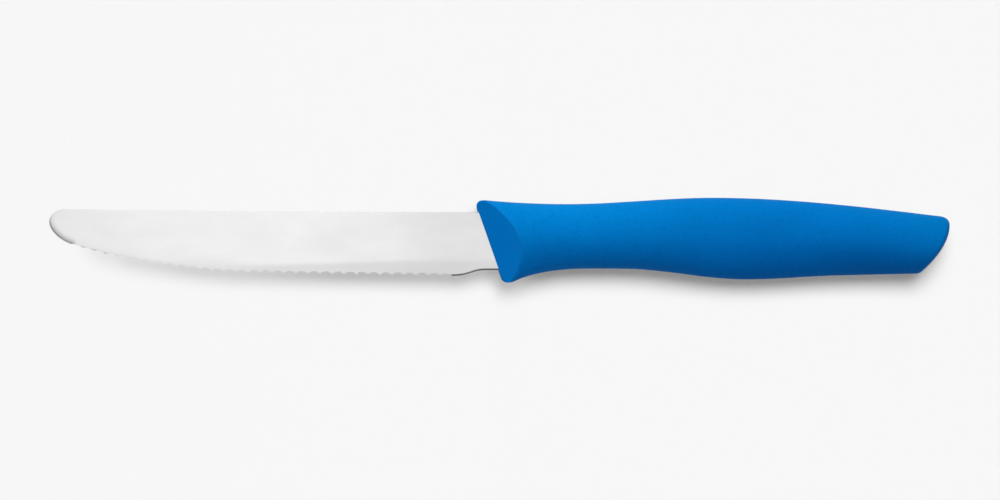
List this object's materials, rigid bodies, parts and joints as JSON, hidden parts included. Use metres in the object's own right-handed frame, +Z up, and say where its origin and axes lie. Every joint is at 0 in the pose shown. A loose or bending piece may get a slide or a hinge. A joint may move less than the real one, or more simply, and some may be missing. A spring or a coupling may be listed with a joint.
{
  "type": "serrated table knife",
  "caption": "Table knife with a round-tipped scalloped blade and a blue moulded handle with slanted front facets, for cutting food at the table.",
  "frame": {"origin": "middle of the knife's outline, on the surface that it lies on", "axes": "+X from the blade's tip to the handle's butt, +Y from the cutting edge to the spine, +Z up through the blade's thickness"},
  "size_m": [0.225, 0.0214, 0.013],
  "materials": {
    "satin_steel": "satin, with a fine grind along the edge",
    "blue_moulding": "satin moulded grain"
  },
  "bodies": {
    "root": {"blade": "satin_steel", "handle": "blue_moulding"}
  },
  "joints": []
}
